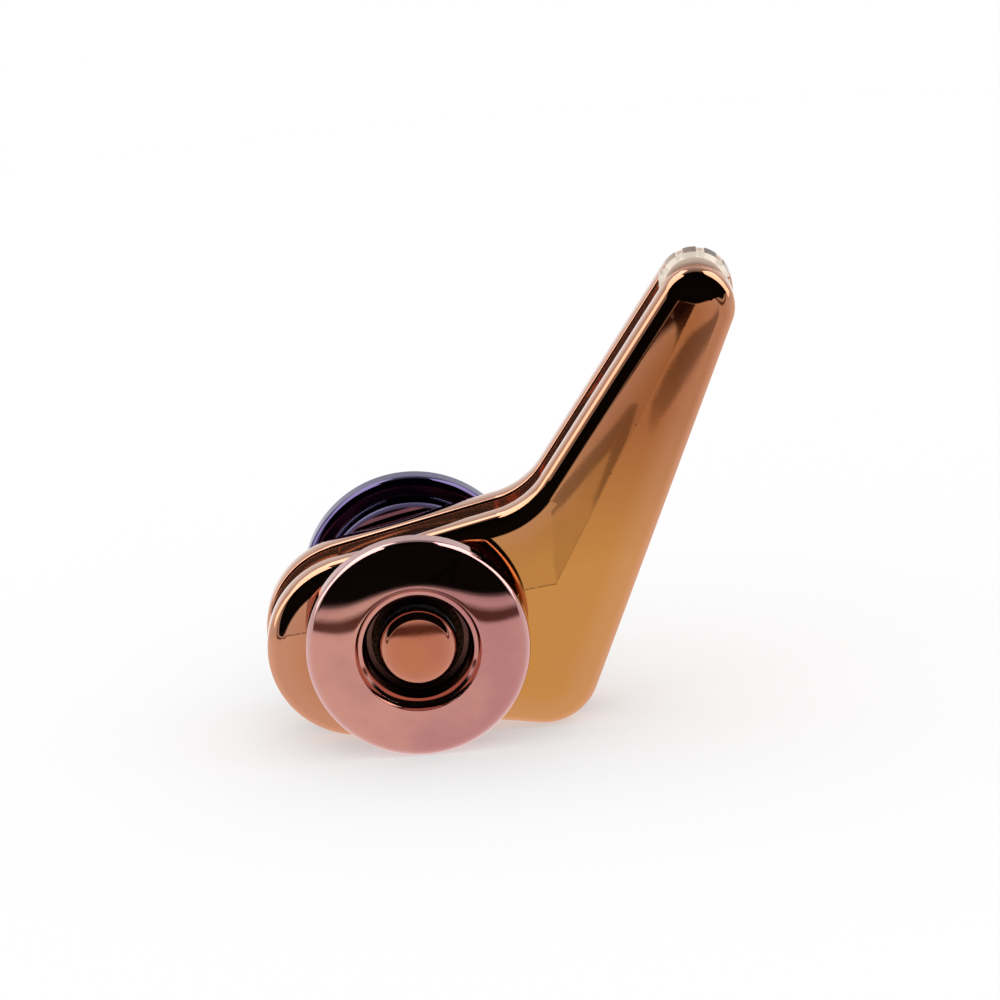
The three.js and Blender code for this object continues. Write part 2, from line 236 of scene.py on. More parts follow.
def platingMaterial(name):
    look = {**usualPlating, **plating[name]}
    material, tree, shader = newMaterial(f"{name}_plating")
    place = objectPlace(tree)
    middle = (-look["middle"][0] * mm, 0, -look["middle"][1] * mm)
    moved = addNode(tree, "ShaderNodeVectorMath", {"operation": "ADD", 1: middle}, {0: place}).outputs[0]
    squeezed = addNode(tree, "ShaderNodeVectorMath", {"operation": "MULTIPLY", 1: look["squeeze"]},
                       {0: moved}).outputs[0]
    away = lengthOf(tree, squeezed)
    outer = between(tree, away, 0, 1, look["from"] * mm, look["to"] * mm)
    cloud = between(tree, noiseOf(tree, place, polish["cloudScale"], 4), -look["cloud"], look["cloud"])
    drift = addNode(tree, "ShaderNodeMath", {"operation": "ADD", "use_clamp": True},
                    {0: outer, 1: cloud}).outputs[0]
    tint = mixed(tree, drift, look["face"], look["far"])
    # painted dark reflection: the colour turns browner higher up the arm
    if "high" in look:
        upper = between(tree, riseOf(tree, place), 0, 1, look["highFrom"] * mm, look["highTo"] * mm)
        tint = mixed(tree, upper, tint, look["high"])
    # painted sheen: the rim mask lightens turned-over edges towards the edge colour
    withPaintedSheen = mixed(tree, attribute(tree, "rim"), tint, look["edge"])
    # painted shade: the shade mask darkens the colour towards the deep colour in recesses and on inner sides
    painted_shade = attribute(tree, "painted_shade")
    tree.links.new(mixed(tree, painted_shade, withPaintedSheen, look["deep"]), shader.inputs["Base Color"])
    satin = attribute(tree, "satin")
    tree.links.new(between(tree, satin, 1, polish["satinMetal"], 0, 1), shader.inputs["Metallic"])
    smudges = noiseOf(tree, place, polish["smudgeScale"], 6)
    smudge = between(tree, smudges, polish["roughLow"], polish["roughHigh"])
    matt = mathNode(tree, "MAXIMUM", satin, painted_shade)
    soft = mathNode(tree, "MULTIPLY_ADD", matt, polish["satinRough"], smudge)
    tree.links.new(soft, shader.inputs["Roughness"])
    waves = bumped(tree, noiseOf(tree, place, polish["waveScale"], 1), polish["waveDepth"])
    hairs = noiseOf(tree, stretched(tree, place, polish["hairScale"]), 1, 3)
    brushed = bumped(tree, hairs, polish["hairDepth"], waves)
    pits = between(tree, noiseOf(tree, place, polish["pitScale"], 0), 0, 1, *polish["pitLimits"])
    tree.links.new(bumped(tree, pits, polish["pitDepth"], brushed), shader.inputs["Normal"])
    return material


turnedSteel = {
    "base": (186, 188, 192),
    "dark": (150, 152, 158),
    "lines": 5200,
    "along": (0.04, 1, 0.04),
    "stain": 300,
    "depth": 0.0012,
    "rough": (0.18, 0.34),
}


def dressShader(tree, shader, look, share, grain, metallic):
    tree.links.new(mixed(tree, share, look["base"], look["dark"]), shader.inputs["Base Color"])
    shader.inputs["Metallic"].default_value = metallic
    tree.links.new(between(tree, grain, *look["rough"]), shader.inputs["Roughness"])
    tree.links.new(bumped(tree, grain, look["depth"]), shader.inputs["Normal"])


def steelMaterial():
    look = turnedSteel
    material, tree, shader = newMaterial("turned_steel")
    place = objectPlace(tree)
    lines = noiseOf(tree, stretched(tree, place, look["along"]), look["lines"], 4)
    stain = between(tree, noiseOf(tree, place, look["stain"], 3), 0, 1)
    dressShader(tree, shader, look, stain, lines, 1)
    return material


sintered = {"base": (58, 38, 27), "dark": (34, 21, 15), "grain": 2600, "depth": 0.004, "rough": (0.32, 0.5)}
acetal = {"base": (230, 228, 220), "dark": (214, 210, 200), "grain": 1500, "depth": 0.003,
          "rough": (0.4, 0.55)}


def grainyMaterial(name, look, metallic):
    material, tree, shader = newMaterial(name)
    place = objectPlace(tree)
    grain = noiseOf(tree, place, look["grain"], 4)
    dressShader(tree, shader, look, between(tree, grain, 0, 1), grain, metallic)
    return material


finishes = {f"{name}_plating": platingMaterial(name) for name in plating}
finishes["steel"] = steelMaterial()
finishes["bronze"] = grainyMaterial("sintered_bronze", sintered, 1)
finishes["polymer"] = grainyMaterial("natural_acetal", acetal, 0)
finishes["pale_plating"] = finishes["champagne_plating"]
print("Materials made")

nodeSlots = {part["node"]: part["material_slot"] for part in frame["record"]["subparts"]}
nodeBodies = {n: body for body, members in frame["record"]["behaviour"]["bodies"].items() for n in members}
for nodeName, cadNode in nodes.items():
    cadNode.data.materials.clear()
    cadNode.data.materials.append(finishes[nodeSlots[nodeName]])


# Mesh helpers
limits = {
    "weld": 1e-7,
    "sliver": 2e-5,  # twice the area of a triangle too thin to keep
}


def rounded(corners, closed=True, steps=7):
    # corners are (a, b, radius); radius None is a point on a smooth curve. Gives (a, b, normal a, normal b).
    points = []
    count = len(corners)
    for i, (a, b, radius) in enumerate(corners):
        here = Vector((a, b))
        before = Vector(corners[(i - 1) % count][:2])
        after = Vector(corners[(i + 1) % count][:2])
        if not closed and i in (0, count - 1):
            along = (after - here if i == 0 else here - before).normalized()
            points.append((a, b, along.y, -along.x))
            continue
        first = (here - before).normalized()
        second = (after - here).normalized()
        turn = math.atan2(first.x * second.y - first.y * second.x, first.dot(second))
        if radius is None:
            along = (first + second).normalized()
            points.append((a, b, along.y, -along.x))
            continue
        reach = abs(radius * math.tan(turn / 2))
        start = here - first * reach
        sign = math.copysign(1, turn)
        normal = Vector((first.y, -first.x))
        centre = start - normal * radius * sign
        for k in range(steps + 1):
            angle = math.atan2(normal.y, normal.x) + turn * k / steps
            n = Vector((math.cos(angle), math.sin(angle)))
            p = centre + n * radius * sign
            points.append((p.x, p.y, n.x, n.y))
    return points


def makePiece(name, node, points, faces, normals, looks=None, place=(0, 0), side=1):
    points = np.array(points, float)
    normals = np.array(normals, float)
    points[:, 1] *= side
    normals[:, 1] *= side
    facing = []
    for face in faces:
        a, b, c = (points[face[k]] for k in (0, 1, 2))
        across = np.cross(b - a, c - a)
        if len(face) == 4:
            across = across + np.cross(c - a, points[face[3]] - a)
        outward = across @ normals[list(face)].sum(0)
        facing.append(tuple(face) if outward > 0 else tuple(reversed(face)))
    mesh = bpy.data.meshes.new(name)
    mesh.from_pydata([tuple(p * mm) for p in points], [], facing)
    mesh.polygons.foreach_set("use_smooth", [True] * len(mesh.polygons))
    mesh.normals_split_custom_set_from_vertices([tuple(n / np.linalg.norm(n)) for n in normals])
    # the rim mask carries a painted sheen, the shade mask painted shade, and satin a duller finish
    for look in ("rim", "painted_shade", "satin"):
        values = (looks or {}).get(look, np.zeros(len(points)))
        mesh.attributes.new(look, "FLOAT", "POINT").data.foreach_set("value", np.array(values, np.float32))
    piece = bpy.data.objects.new(name, mesh)
    piece.location = ((axleX + place[0]) * mm, 0, (axleZ + place[1]) * mm)
    scene.collection.objects.link(piece)
    dress(piece, node)
    return piece


def dress(piece, node):
    slotName = nodeSlots[node]
    piece.data.materials.append(finishes[slotName])
    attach(piece, nodeBodies[node])
    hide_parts(node)


def revolved(profile, sides, closed=True):
    points = []
    normals = []
    rings = []
    for r, y, nr, ny in profile:
        if r < 1e-6:
            rings.append([len(points)])
            points.append((0, y, 0))
            normals.append((0, ny, 0))
            continue
        rings.append(range(len(points), len(points) + sides))
        for k in range(sides):
            angle = 2 * math.pi * k / sides
            c, s = math.cos(angle), math.sin(angle)
            points.append((r * c, y, r * s))
            normals.append((nr * c, ny, nr * s))
    faces = []
    pairs = list(zip(rings, rings[1:])) + ([(rings[-1], rings[0])] if closed else [])
    for lower, upper in pairs:
        for k in range(sides):
            n = (k + 1) % sides
            if len(lower) == 1:
                faces.append((lower[0], upper[k], upper[n]))
            elif len(upper) == 1:
                faces.append((lower[k], lower[n], upper[0]))
            else:
                faces.append((lower[k], lower[n], upper[n], upper[k]))
    return points, faces, normals


def turnedPiece(name, node, corners, sides, closed=True, place=(0, 0), side=1, looksOf=None, leanOf=None):
    profile = rounded(corners, closed)
    if leanOf:
        profile = [leanOf(*point) for point in profile]
    points, faces, normals = revolved(profile, sides, closed)
    looks = {look: [of(math.hypot(x, z), y) for x, y, z in points] for look, of in (looksOf or {}).items()}
    makePiece(name, node, points, faces, normals, looks, place, side)


def insidePolygon(tests, ring):
    inside = np.zeros(len(tests), bool)
    a = ring
    b = np.roll(ring, -1, axis=0)
    for (ax, az), (bx, bz) in zip(a, b):
        crosses = (az > tests[:, 1]) != (bz > tests[:, 1])
        if az != bz:
            inside ^= crosses & (tests[:, 0] < (bx - ax) * (tests[:, 1] - az) / (bz - az) + ax)
    return inside


def onFace(tests, outer, *holes):
    kept = insidePolygon(tests, outer)
    for hole in holes:
        kept &= ~insidePolygon(tests, hole)
    return kept


def circle(x, z, radius, sides):
    angles = 2 * math.pi * np.arange(sides) / sides
    return np.stack([x + radius * np.cos(angles), z + radius * np.sin(angles)], 1)


class Solid:
    # gathers rings, walls and filled faces of one piece
    def __init__(self):
        self.points = []
        self.normals = []
        self.rim = []
        self.faces = []

    def addPoints(self, flat, heights, normals, rim):
        start = len(self.points)
        heights = np.broadcast_to(heights, len(flat))
        self.points += [(x, y, z) for (x, z), y in zip(flat, heights)]
        self.normals += [tuple(n) for n in normals]
        self.rim += list(np.broadcast_to(rim, len(flat)))
        return list(range(start, len(self.points)))

    def wall(self, lower, upper):
        count = len(lower)
        for k in range(count):
            n = (k + 1) % count
            self.faces.append((lower[k], lower[n], upper[n], upper[k]))

    def fill(self, outer, holes, extra, heightOf, normalOf):
        # outer and holes are lists of point numbers that bound the face
        loops = [outer, *holes]
        flat = [np.array([(self.points[i][0], self.points[i][2]) for i in loop]) for loop in loops]
        extra = extra[onFace(extra, *flat)]
        edges = []
        start = 0
        for loop in loops:
            edges += [(start + k, start + (k + 1) % len(loop)) for k in range(len(loop))]
            start += len(loop)
        numbers = [i for loop in loops for i in loop]
        if len(extra):
            numbers += self.addPoints(extra, heightOf(extra), normalOf(extra), 0.0)
        spots = [Vector(p) for p in np.concatenate([*flat, extra])]
        made, _, triangles, sources, _, _ = delaunay_2d_cdt(spots, edges, [], 0, limits["weld"])
        numberOf = [numbers[source[0]] for source in sources]
        centres = np.array([sum((made[i] for i in t), Vector((0, 0))) / 3 for t in triangles])
        for t, good in zip(triangles, onFace(centres, *flat)):
            a, b, c = (made[i] for i in t)
            if good and abs((b - a).cross(c - a)) > limits["sliver"]:
                self.faces.append(tuple(numberOf[i] for i in t))


# Shells
shell = {
    "lobe": (-6.0, -1.85, 9.1),
    "under": (0.55, 6.0),
    "heel": (12.3, -5.6, 5.6),
    "tip": (30.35, 30.65, 3.8),
    "elbow": (7.0, 18.5, 8.0),
    "gapHalf": 1.7,
    "face": 6.3,
    "shoulderWide": 1.7,
    "shoulderDeep": 2.1,
    "shoulderEase": 1.6,
    "bevel": 0.3,
    "bevelSteps": 4,
    "creaseLeft": (-14.6, 0.3),
    "creaseMiddle": (14.2, 3.7),
    "creaseTop": (30.35, 31.6),
    "creaseEnd": (34.15, 32.45),
    "creaseBack": (27.3, 32.48),
    "lobeSlope": 3,
    "armSlope": 6,
    "tipSlope": 12,
    "creaseRound": 0.0012,
    "creaseLines": (-0.2, -0.012, 0.012, 0.2),
    "creaseStep": 0.2,
    "wallCrown": 8,
    # how much painted sheen the face keeps beside the shoulders, and how far it reaches
    "rimOnFace": 0.25,
    "rimReach": 2.0,
    "gapSatin": 0.1,
    "arcStep": 2.0,
    "lineStep": 0.5,
    "shoulderSteps": 14,
    "gridStep": 0.7,
    "gridMargin": 0.3,
    "mouthDepth": 0.3,
}


def bodyArcs():
    lobeX, lobeZ, lobeR = shell["lobe"]
    underX, underR = shell["under"]
    underZ = lobeZ - math.sqrt((lobeR + underR) ** 2 - (underX - lobeX) ** 2)
    elbowX, elbowZ, elbowR = shell["elbow"]
    return [shell["lobe"], (underX, underZ, -underR), shell["heel"], shell["tip"], (elbowX, elbowZ, -elbowR)]


def touchingAngle(a, b):
    distance = math.hypot(b[0] - a[0], b[1] - a[1])
    share = min(1, (a[2] - b[2]) / distance)
    return math.atan2(b[1] - a[1], b[0] - a[0]) - math.acos(share)


def bodyStations():
    # outline points and the directions outwards, anticlockwise
    arcs = bodyArcs()
    places = []
    outwards = []
    for i, arc in enumerate(arcs):
        before = arcs[i - 1]
        after = arcs[(i + 1) % len(arcs)]
        start = touchingAngle(before, arc)
        stop = touchingAngle(arc, after)
        turn = math.copysign(1, arc[2])
        sweep = (((stop - start) * turn) % (2 * math.pi)) * turn
        steps = math.ceil(abs(math.degrees(sweep)) / shell["arcStep"])
        for k in range(steps + 1):
            angle = start + sweep * k / steps
            n = (math.cos(angle), math.sin(angle))
            places.append((arc[0] + arc[2] * n[0], arc[1] + arc[2] * n[1]))
            outwards.append(n)
        n = (math.cos(stop), math.sin(stop))
        head = np.array((after[0] + after[2] * n[0], after[1] + after[2] * n[1]))
        tail = np.array(places[-1])
        parts = int(np.linalg.norm(head - tail) / shell["lineStep"])
        for k in range(1, parts):
            places.append(tuple(tail + (head - tail) * k / parts))
            outwards.append(n)
    places = np.array(places)
    apart = np.linalg.norm(np.roll(places, -1, axis=0) - places, axis=1) > 1e-3
    return places[apart], np.array(outwards)[apart]


def facet(flat, start, end, slope):
    along = np.array(end) - np.array(start)
    along = along / np.linalg.norm(along)
    left = np.array((-along[1], along[0]))
    return shell["face"] - math.tan(math.radians(slope)) * ((flat - np.array(start)) @ left)


def softMin(a, b, size):
    share = np.maximum(size - np.abs(a - b), 0) / size
    return np.minimum(a, b) - share * share * size / 4


def faceHeight(flat):
    flat = np.asarray(flat, float)
    lobe = facet(flat, shell["creaseLeft"], shell["creaseMiddle"], shell["lobeSlope"])
    arm = facet(flat, shell["creaseMiddle"], shell["creaseTop"], shell["armSlope"])
    tip = facet(flat, shell["creaseTop"], shell["creaseEnd"], shell["tipSlope"])
    size = shell["creaseRound"]
    height = -softMin(-lobe, -arm, size)
    height = softMin(height, np.full(len(flat), shell["face"]), size)
    return softMin(height, tip, 2 * size)


def faceSlope(flat, step=0.01):
    right = np.array((step, 0))
    up = np.array((0, step))
    alongX = (faceHeight(flat + right) - faceHeight(flat - right)) / (2 * step)
    alongZ = (faceHeight(flat + up) - faceHeight(flat - up)) / (2 * step)
    return alongX, alongZ


def faceNormal(flat):
    alongX, alongZ = faceSlope(flat)
    return np.stack([-alongX, np.ones(len(flat)), -alongZ], 1)


screws = {
    "reach": 21.0,
    "lobeBack": 2.4,
    "shank": 0.8,
    "head": 1.7,
    "headHeight": 1.0,
    "rimHeight": 0.1,
    "rimSunk": 0.15,
    "frontDepth": 2.8,
    "socket": 0.8,
    "socketDepth": 0.6,
    "fit": 0.03,
}


def screwPlaces():
    heel = np.array(shell["heel"][:2])
    tip = np.array(shell["tip"][:2])
    arm = heel + (tip - heel) / np.linalg.norm(tip - heel) * screws["reach"]
    lobe = np.array((shell["lobe"][0] - screws["lobeBack"], shell["lobe"][1]))
    return {"heel": heel, "arm": arm, "lobe": lobe}


tipCentre = ((tipPlace.x - axlePlace.x) / mm, (tipPlace.z - axlePlace.z) / mm)
axleHoleRadius = 3.03
tipHole = {"radius": 1.03, "floor": 4.53}


def holeWall(solid, x, z, steps, sides=48):
    # steps are (radius, y); gives the rings from the first to the last
    rings = []
    inward = np.array([(x, z)]) - circle(x, z, 1, sides)
    for i, (radius, y) in enumerate(steps):
        before = steps[max(i - 1, 0)]
        after = steps[min(i + 1, len(steps) - 1)]
        lean = (after[0] - before[0]) / max(abs(after[1] - before[1]), 1e-6)
        size = math.hypot(1, lean)
        normals = np.stack([inward[:, 0], np.full(sides, lean), inward[:, 1]], 1) / size
        rings.append(solid.addPoints(circle(x, z, radius, sides), y, normals, 0.0))
    for lower, upper in zip(rings, rings[1:]):
        solid.wall(lower, upper)
    return rings


def openMouth(solid, ring):
    # takes a hole's last ring up to the face and gives the ring there
    flat = np.array([solid.points[i] for i in ring])[:, [0, 2]]
    top = solid.addPoints(flat, faceHeight(flat), faceNormal(flat), 0.0)
    solid.wall(ring, top)
    return top


def makeShell(name, node, side, throughScrews):
    solid = Solid()
    places, outwards = bodyStations()
    gap = shell["gapHalf"]
    bevel = shell["bevel"]
    wide = shell["shoulderWide"]
    deep = shell["shoulderDeep"]
    crown = shell["wallCrown"]
    rings = []
    # the bevel rings carry full painted sheen, the shoulder rings less as they turn onto the face
    for k in range(shell["bevelSteps"] + 1):
        share = k / shell["bevelSteps"]
        angle = math.radians(90 * (1 - share))
        inset = bevel * (1 - math.cos(angle))
        lean = math.radians(90 - (90 - crown) * share)
        normals = np.stack([outwards[:, 0] * math.cos(lean), np.full(len(places), -math.sin(lean)),
                            outwards[:, 1] * math.cos(lean)], 1)
        flat = places - outwards * inset
        rings.append(solid.addPoints(flat, gap + bevel * (1 - math.sin(angle)), normals, 1.0))
    for k in range(shell["shoulderSteps"] + 1):
        angle = math.radians(90 * k / shell["shoulderSteps"])
        c, s = math.cos(angle), math.sin(angle)
        flat = places - outwards * wide * (1 - c)
        alongX, alongZ = faceSlope(flat)
        height = faceHeight(flat) - deep * (1 - s)
        turned = 1 - (1 - math.atan2(wide * s, deep * c) / (math.pi / 2)) ** shell["shoulderEase"]
        lean = math.radians(crown + (90 - crown) * turned)
        c, s = math.cos(lean), math.sin(lean)
        normals = np.stack([c * outwards[:, 0] - s * alongX, np.full(len(places), s),
                            c * outwards[:, 1] - s * alongZ], 1)
        rings.append(solid.addPoints(flat, height, normals, max(c, shell["rimOnFace"])))
    for lower, upper in zip(rings, rings[1:]):
        solid.wall(lower, upper)

    step = shell["gridStep"]
    low = places.min(0)
    high = places.max(0)
    columns = np.arange(low[0], high[0], step)
    grid = np.stack(np.meshgrid(columns, np.arange(low[1], high[1], step)), -1)
    lines = []
    creases = (("creaseLeft", "creaseMiddle"), ("creaseMiddle", "creaseTop"), ("creaseTop", "creaseEnd"),
               ("creaseTop", "creaseBack"))
    for start, end in creases:
        a, b = np.array(shell[start]), np.array(shell[end])
        along = (b - a) / np.linalg.norm(b - a)
        across = np.array((-along[1], along[0]))
        for offset in shell["creaseLines"]:
            for t in np.arange(0, np.linalg.norm(b - a), shell["creaseStep"]):
                lines.append(a + along * t + across * offset)
    extra = np.concatenate([grid.reshape(-1, 2), np.array(lines)])
    inner = places - outwards * (wide + shell["gridMargin"])
    extra = extra[insidePolygon(extra, inner)]

    holesInGap = []
    holesInFace = []
    axleSteps = [(axleHoleRadius, gap), (axleHoleRadius, shell["face"] - shell["mouthDepth"])]
    axleRings = holeWall(solid, 0, 0, axleSteps, sides=64)
    holesInGap.append(axleRings[0])
    holesInFace.append(openMouth(solid, axleRings[-1]))
    pinSteps = [(tipHole["radius"], gap), (tipHole["radius"], tipHole["floor"])]
    pinRings = holeWall(solid, *tipCentre, pinSteps, sides=32)
    solid.faces.append(tuple(pinRings[-1]))
    holesInGap.append(pinRings[0])
    shank = screws["shank"] + screws["fit"]
    head = screws["head"] + screws["fit"]
    for x, z in screwPlaces().values():
        if throughScrews:
            cone = shell["face"] - screws["headHeight"]
            rim = shell["face"] - screws["rimHeight"] - screws["rimSunk"]
            ringSteps = [(shank, gap), (shank, cone - 0.05), (shank + 0.02, cone), (head, rim)]
            screwRings = holeWall(solid, x, z, ringSteps)
            holesInFace.append(openMouth(solid, screwRings[-1]))
        else:
            floor = gap + screws["frontDepth"] + screws["fit"]
            screwRings = holeWall(solid, x, z, [(shank, gap), (shank, floor)])
            solid.faces.append(tuple(screwRings[-1]))
        holesInGap.append(screwRings[0])
    solid.fill(rings[0], holesInGap, np.zeros((0, 2)), None, None)
    start = len(solid.points)
    solid.fill(rings[-1], holesInFace, extra, faceHeight, faceNormal)
    added = np.array(solid.points[start:])[:, [0, 2]]
    within = np.min(np.linalg.norm(added[:, None] - places[None], axis=2), axis=1) - wide
    # painted sheen fading from the shoulders onto the face
    solid.rim[start:] = list(shell["rimOnFace"] * np.clip(1 - within / shell["rimReach"], 0, 1))
    satin = [shell["gapSatin"] if y < gap + 0.01 else 0.0 for x, y, z in solid.points]
    looks = {"rim": solid.rim, "satin": satin}
    makePiece(name, node, solid.points, solid.faces, solid.normals, looks, (0, 0), side)


makeShell("front_shell_fine", "front_shell", -1, False)
makeShell("rear_shell_fine", "rear_shell", 1, True)
print("Shells made")


# Thumb discs, with a face that crowns away from the well
disc = {
    "bore": 3.58,
    "bossFace": 6.8,
    "bossRadius": 9.3,
    "flangeBack": 9.25,
    "radius": 11.2,
    "face": 12.75,
    "backRound": 0.9,
    "bossRound": 0.4,
    "boreRound": 0.1,
    "footRound": 0.25,
    "floorRound": 0.3,
    "chamferFrom": 10.85,
    "chamferSlope": 55,
    "chamferRound": 0.5,
    "rimRound": 0.9,
    "wellRadius": 5.3,
    "wellFloor": 8.8,
    "crest": 6.33,
    "crestRound": 0.06,
    "stepFoot": 5.97,
    "stepSlope": 54,
    "stepRound": 0.1,
    "ringFoot": 5.62,
    "ringSlope": 8,
    "lip": 0.1,
    "crownCentre": 4.5,
    "crownRadius": 60.0,
    "crownLean": 32.0,
    "crownDrop": 0.01,
    "crownPoints": (6.7, 7.2, 7.8, 8.4, 9.0, 9.6, 10.2),
    # where painted shade starts down the well, the depth over which it darkens fully, and how dark the inner
    # sides are painted
    "wellTop": 11.68,
    "wellShadeFade": 0.2,
    "innerPaintedShade": 0.75,
    "bossSatin": 0.8,
    # where the painted highlight starts before the rim's chamfer, and the width over which it blends in
    "rimBefore": 0.3,
    "rimBlend": 0.5,
    "backDepth": 0.5,
    "sides": 192,
}


def discCrown(r):
    return disc["face"] - disc["crownDrop"] - (r - disc["crownCentre"]) ** 2 / (2 * disc["crownRadius"])


def fall(wide, slope):
    return wide * math.tan(math.radians(slope))


def makeDisc(name, node, side):
    chamferTop = discCrown(disc["chamferFrom"])
    rimTop = chamferTop - fall(disc["radius"] - disc["chamferFrom"], disc["chamferSlope"])
    crestTop = discCrown(disc["crest"])
    stepEnd = crestTop - fall(disc["crest"] - disc["stepFoot"], disc["stepSlope"])
    ringEnd = stepEnd - fall(disc["stepFoot"] - disc["ringFoot"], disc["ringSlope"])
    lipTop = ringEnd - fall(disc["ringFoot"] - disc["wellRadius"], disc["stepSlope"])
    corners = [
        (disc["bore"], disc["bossFace"], disc["boreRound"]),
        (disc["bossRadius"], disc["bossFace"], disc["bossRound"]),
        (disc["bossRadius"], disc["flangeBack"], disc["footRound"]),
        (disc["radius"], disc["flangeBack"], disc["backRound"]),
        (disc["radius"], rimTop, disc["rimRound"]),
        (disc["chamferFrom"], chamferTop, disc["chamferRound"]),
        *[(r, discCrown(r), None) for r in reversed(disc["crownPoints"])],
        (disc["crest"], crestTop, disc["crestRound"]),
        (disc["stepFoot"], stepEnd, disc["stepRound"]),
        (disc["ringFoot"], ringEnd, disc["stepRound"]),
        (disc["wellRadius"], lipTop, disc["lip"]),
        (disc["wellRadius"], disc["wellFloor"], disc["floorRound"]),
        (disc["bore"], disc["wellFloor"], disc["boreRound"]),
    ]

    def leanOf(r, y, nr, ny):
        # the face mirrors as a fuller crown than the shallow one it has
        if y < disc["flangeBack"] + disc["backDepth"] or r < disc["crownPoints"][0]:
            return r, y, nr, ny
        crown = (min(r, disc["chamferFrom"]) - disc["crownCentre"]) / disc["crownLean"]
        lean = max(crown, math.atan2(nr, ny))
        return r, y, math.sin(lean), math.cos(lean)

    # painted highlight on the rim's chamfer and round, and on the boss's round edge
    def paintedSheenOf(r, y):
        onRim = (r - disc["chamferFrom"] + disc["rimBefore"]) / disc["rimBlend"]
        onBoss = 1 if y < disc["flangeBack"] and r > disc["bossRadius"] - disc["bossRound"] else 0
        return min(1, max(0, onRim, onBoss))

    # painted shade on the inner sides, except where the painted highlight runs, and down the well
    def paintedShadeOf(r, y):
        if y < disc["flangeBack"] + 0.02 and r < disc["radius"] - disc["backRound"] / 2:
            return disc["innerPaintedShade"] * (0 if paintedSheenOf(r, y) else 1)
        inWell = (disc["wellTop"] - y) / disc["wellShadeFade"]
        return min(1, max(0, inWell)) if r < disc["wellRadius"] + 0.1 else 0

    def satinOf(r, y):
        small = disc["bossRound"] * 0.9
        onBoss = y < disc["bossFace"] + small and r > disc["bossRadius"] - small
        return disc["bossSatin"] if onBoss else 0

    looksOf = {"rim": paintedSheenOf, "painted_shade": paintedShadeOf, "satin": satinOf}
    turnedPiece(name, node, corners, disc["sides"], True, (0, 0), side, looksOf, leanOf)


makeDisc("front_disc_fine", "front_thumb_disc", -1)
makeDisc("rear_disc_fine", "rear_thumb_disc", 1)
print("Thumb discs made")


# Push buttons
button = {
    "radius": 4.0,
    "face": 12.45,
    "back": 11.25,
    "round": 1.0,
    "dome": 62.0,
    "domePoints": (2.9, 2.5, 2.0, 1.5, 1.0, 0.5),
    "backRound": 0.08,
    "stemRound": 0.1,
    "rimPower": 6,
    "skirt": 0.45,
    "stem": 1.65,
    "stemEnd": 6.4,
    "sides": 128,
}


def makeButton(name, node, side):
    def height(r):
        return button["face"] - r ** 2 / (2 * button["dome"])

    corners = [
        (0, button["stemEnd"], 0),
        (button["stem"], button["stemEnd"], button["stemRound"]),
        (button["stem"], button["back"], button["stemRound"]),
        (button["radius"], button["back"], button["backRound"]),
        (button["radius"], height(button["radius"]), button["round"]),
        *[(r, height(r), None) for r in button["domePoints"]],
        (0, button["face"], 0),
    ]

    # painted sheen towards the button's rounded edge
    def paintedSheenOf(r, y):
        return (r / button["radius"]) ** button["rimPower"] if y > button["back"] else 0.0

    # painted shade on the button's skirt, down in the well
    def paintedShadeOf(r, y):
        return 1.0 if y < button["back"] + button["skirt"] else 0.0

    looksOf = {"rim": paintedSheenOf, "painted_shade": paintedShadeOf}
    turnedPiece(name, node, corners, button["sides"], False, (0, 0), side, looksOf)


makeButton("front_button_fine", "front_button", -1)
makeButton("rear_button_fine", "rear_button", 1)
print("Buttons made")


# Roller at the tip
wheel = {
    "radius": 3.6,
    "half": 1.3,
    "notches": 10,
    "notchRadius": 0.42,
    "phase": 40.5,
    "lipRound": 0.12,
    "chamferDrop": 0.5,
    "chamferWide": 0.4,
    "chamferEdge": 0.08,
    "bore": 1.58,
}


def wheelOutline():
    corners = []
    radius = wheel["radius"]
    notch = wheel["notchRadius"]
    half = 2 * math.asin(notch / 2 / radius)
    pitch = 2 * math.pi / wheel["notches"]
    for i in range(wheel["notches"]):
        middle = math.radians(wheel["phase"]) + i * pitch
        centre = Vector((radius * math.cos(middle), radius * math.sin(middle)))
        for angle in np.linspace(middle + half - pitch, middle - half, 9):
            lip = angle in (middle + half - pitch, middle - half)
            size = wheel["lipRound"] if lip else None
            corners.append((radius * math.cos(angle), radius * math.sin(angle), size))
        first = middle - math.pi / 2 - half / 2
        last = middle - 3 * math.pi / 2 + half / 2
        for angle in np.linspace(first, last, 7)[1:-1]:
            corners.append((centre.x + notch * math.cos(angle), centre.y + notch * math.sin(angle), None))
    outline = np.array(rounded(corners, True, 3))
    return outline[:, :2], outline[:, 2:]


def wheelRing(solid, places, outwards, radius, height, lean):
    # the cone of the chamfer cuts the notched outline at this radius
    size = np.linalg.norm(places, axis=1)
    cut = (size > radius - 1e-6)[:, None]
    radial = places / size[:, None]
    c, s = math.cos(math.radians(lean)), math.sin(math.radians(lean)) * math.copysign(1, height)
    cone = np.stack([radial[:, 0] * c, np.full(len(places), s), radial[:, 1] * c], 1)
    notch = np.stack([outwards[:, 0], np.zeros(len(places)), outwards[:, 1]], 1)
    return solid.addPoints(np.where(cut, radial * radius, places), height, np.where(cut, cone, notch), 0.0)


